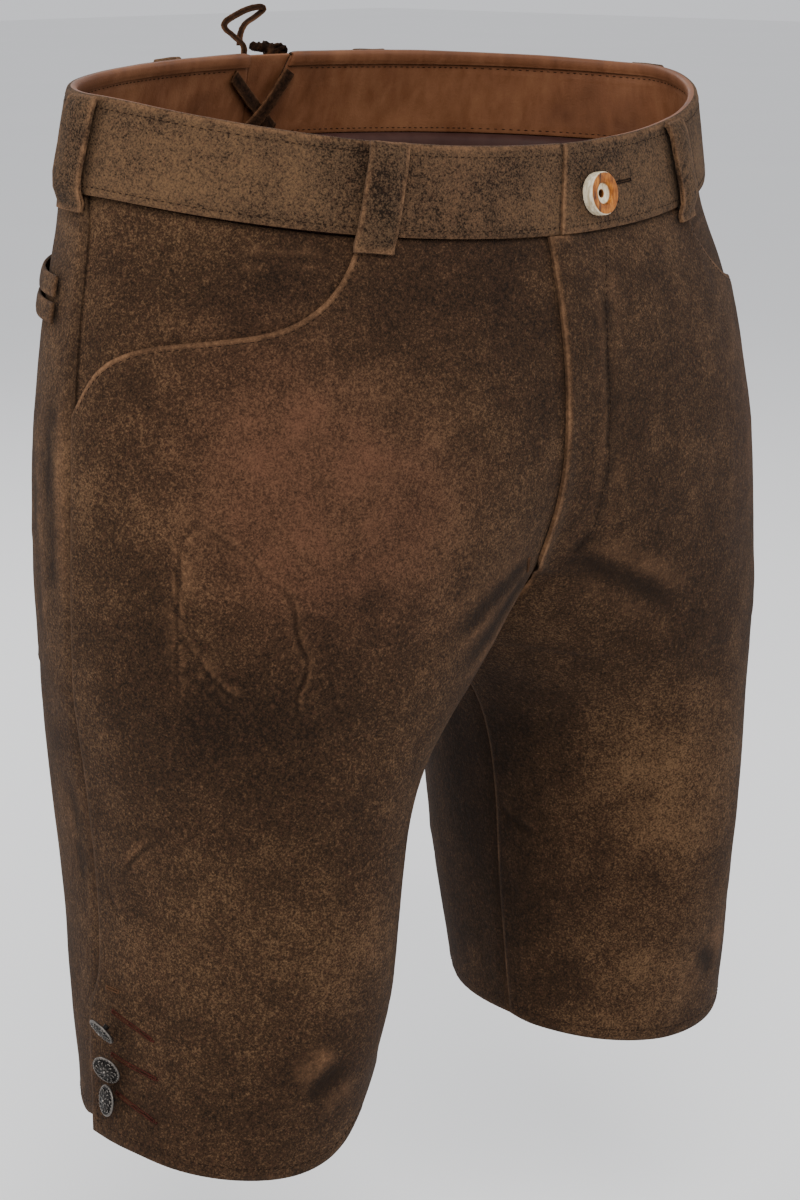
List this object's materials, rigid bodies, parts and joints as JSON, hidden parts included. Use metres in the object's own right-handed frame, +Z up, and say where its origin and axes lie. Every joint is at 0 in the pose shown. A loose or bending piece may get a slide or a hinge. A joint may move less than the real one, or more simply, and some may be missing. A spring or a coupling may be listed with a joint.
{
  "type": "short leather lederhosen",
  "caption": "Hollow short leather trousers with a waistband, curved front pockets, belt loops, a laced back gusset and buttoned hem slits.",
  "frame": {"origin": "middle of the waist opening, at the height of the rim over the side seams, where the wearer's waist holds the garment up", "axes": "+Z up, -Y the front, -X the wearer's right"},
  "size_m": [0.4142, 0.2266, 0.5092],
  "materials": {
    "suede": "dark brown mottled suede, worn lighter along its edges",
    "band_suede": "brown suede, lighter and more worn than the panels",
    "inner_leather": "smooth chestnut grain leather, satin",
    "lining": "plain dark brown lining cloth",
    "thong": "flat dark leather thong",
    "horn": "polished horn, cream at the side and caramel on the face",
    "pewter": "antique pewter with dark recesses"
  },
  "bodies": {
    "root": {"front_right": "suede", "front_left": "suede", "back_right": "suede", "back_left": "suede", "pocket_facing_right": "suede", "pocket_facing_left": "suede", "slit_facing_right": "suede", "slit_facing_left": "suede", "back_pocket_welt_upper": "suede", "back_pocket_welt_lower": "suede", "waistband_right": "band_suede", "waistband_left": "band_suede", "button_stand": "band_suede", "belt_loop_front_right": "band_suede", "belt_loop_side_right": "band_suede", "belt_loop_back_right": "band_suede", "belt_loop_front_left": "band_suede", "belt_loop_side_left": "band_suede", "belt_loop_back_left": "band_suede", "inner_band_right": "inner_leather", "inner_band_left": "inner_leather", "back_gusset": "inner_leather", "lining_right": "lining", "lining_left": "lining", "lace_inside_a": "thong", "lace_inside_b": "thong", "lace_outside_a": "thong", "lace_outside_b": "thong", "lace_loop": "thong", "lace_knot": "thong", "waist_button": "horn", "hem_button_right_top": "pewter", "hem_button_right_middle": "pewter", "hem_button_right_bottom": "pewter", "hem_button_left_top": "pewter", "hem_button_left_middle": "pewter", "hem_button_left_bottom": "pewter"}
  },
  "joints": []
}
